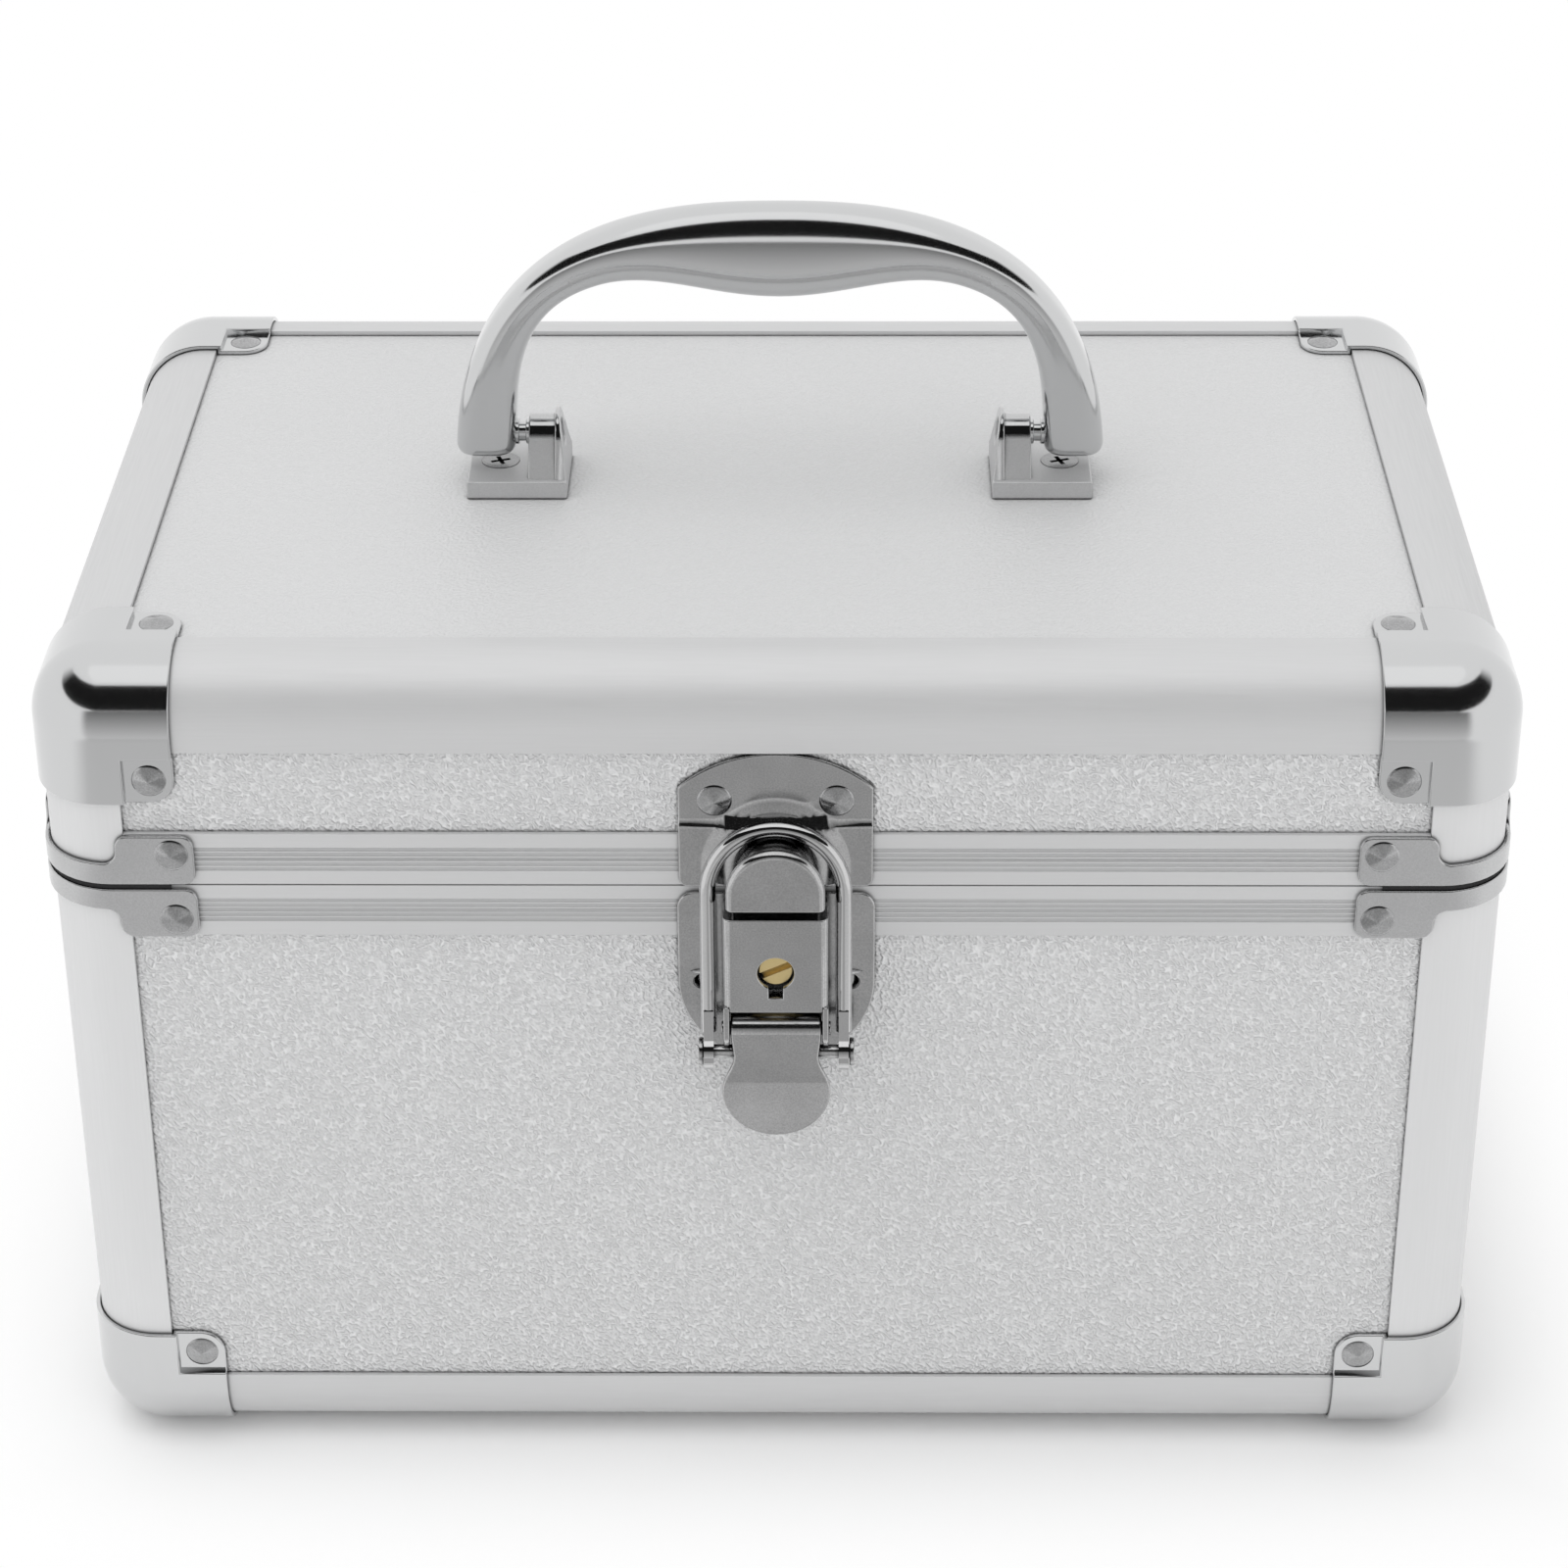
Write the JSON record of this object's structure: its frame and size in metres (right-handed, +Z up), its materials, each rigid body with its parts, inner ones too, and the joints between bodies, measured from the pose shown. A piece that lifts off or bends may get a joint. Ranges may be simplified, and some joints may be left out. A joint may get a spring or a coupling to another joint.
{
  "type": "medicine box",
  "caption": "Small framed medicine box with a hinged lid, an arched folding handle on top and a locking bail latch in front.",
  "frame": {"origin": "middle of the case in plan, on the plane of the four corner caps that it stands on", "axes": "+Z up, -Y towards the latch, +X to the right seen from the front"},
  "size_m": [0.2538, 0.1821, 0.2123],
  "materials": {
    "panel_board": "silver laminate with a fine pebble grain",
    "satin_profile": "satin anodised, drawn along its length",
    "chromed_steel": "bright chrome on pressed steel",
    "cast_chrome": "bright chrome on a smooth casting",
    "lock_brass": "polished brass",
    "liner_foam": "dark dense foam sheet"
  },
  "bodies": {
    "case_body": {"bottom_panel": "panel_board", "front_panel": "panel_board", "rear_panel": "panel_board", "left_panel": "panel_board", "right_panel": "panel_board", "body_posts": "satin_profile", "bottom_rail_front": "satin_profile", "bottom_rail_rear": "satin_profile", "bottom_rail_left": "satin_profile", "bottom_rail_right": "satin_profile", "body_frame_front": "satin_profile", "body_frame_rear": "satin_profile", "body_frame_left": "satin_profile", "body_frame_right": "satin_profile", "body_straps": "chromed_steel", "bottom_cap_front_left": "chromed_steel", "bottom_cap_front_right": "chromed_steel", "bottom_cap_rear_left": "chromed_steel", "bottom_cap_rear_right": "chromed_steel", "body_rivets": "chromed_steel", "body_liner": "liner_foam", "latch_base_plate": "chromed_steel", "lock_housing": "chromed_steel", "lock_barrel": "lock_brass", "lever_pin": "chromed_steel", "lower_hinge_leaves": "chromed_steel", "hinge_pins": "chromed_steel"},
    "lid": {"lid_top_panel": "panel_board", "lid_front_panel": "panel_board", "lid_rear_panel": "panel_board", "lid_left_panel": "panel_board", "lid_right_panel": "panel_board", "lid_posts": "satin_profile", "top_rail_front": "satin_profile", "top_rail_rear": "satin_profile", "top_rail_left": "satin_profile", "top_rail_right": "satin_profile", "lid_frame_front": "satin_profile", "lid_frame_rear": "satin_profile", "lid_frame_left": "satin_profile", "lid_frame_right": "satin_profile", "lid_straps": "chromed_steel", "top_cap_front_left": "chromed_steel", "top_cap_front_right": "chromed_steel", "top_cap_rear_left": "chromed_steel", "top_cap_rear_right": "chromed_steel", "lid_rivets": "chromed_steel", "lid_liner": "liner_foam", "keeper_plate": "chromed_steel", "handle_bracket_left": "cast_chrome", "handle_bracket_right": "cast_chrome", "bracket_screws": "chromed_steel", "upper_hinge_leaves": "chromed_steel"},
    "carry_handle": {"handle": "cast_chrome", "handle_pins": "chromed_steel"},
    "latch_lever": {"lever": "chromed_steel", "cross_pin": "chromed_steel"},
    "latch_bail": {"bail": "chromed_steel"},
    "key_plug": {"lock_plug": "lock_brass", "lock_cam": "chromed_steel"}
  },
  "joints": [
    {"name": "lid_hinge", "type": "hinge", "parent": "case_body", "child": "lid", "pos_m": [0, 0.0827, 0.12], "axis": [-1, 0, 0], "range_deg": [0, 95]},
    {"name": "handle_hinge", "type": "hinge", "parent": "lid", "child": "carry_handle", "pos_m": [0, 0, 0.1683], "axis": [1, 0, 0], "range_deg": [-90, 90]},
    {"name": "lever_hinge", "type": "hinge", "parent": "case_body", "child": "latch_lever", "pos_m": [0, -0.0882, 0.0965], "axis": [-1, 0, 0], "range_deg": [0, 105]},
    {"name": "bail_hinge", "type": "hinge", "parent": "latch_lever", "child": "latch_bail", "pos_m": [0, -0.0878, 0.0915], "axis": [-1, 0, 0], "range_deg": [-113, 0]},
    {"name": "key_turn", "type": "hinge", "parent": "case_body", "child": "key_plug", "pos_m": [0, -0.085, 0.109], "axis": [0, 1, 0], "range_deg": [0, 90]}
  ],
  "couplings": [
    {"joint": "bail_hinge", "follows": "lever_hinge", "ratio": -1.07}
  ]
}
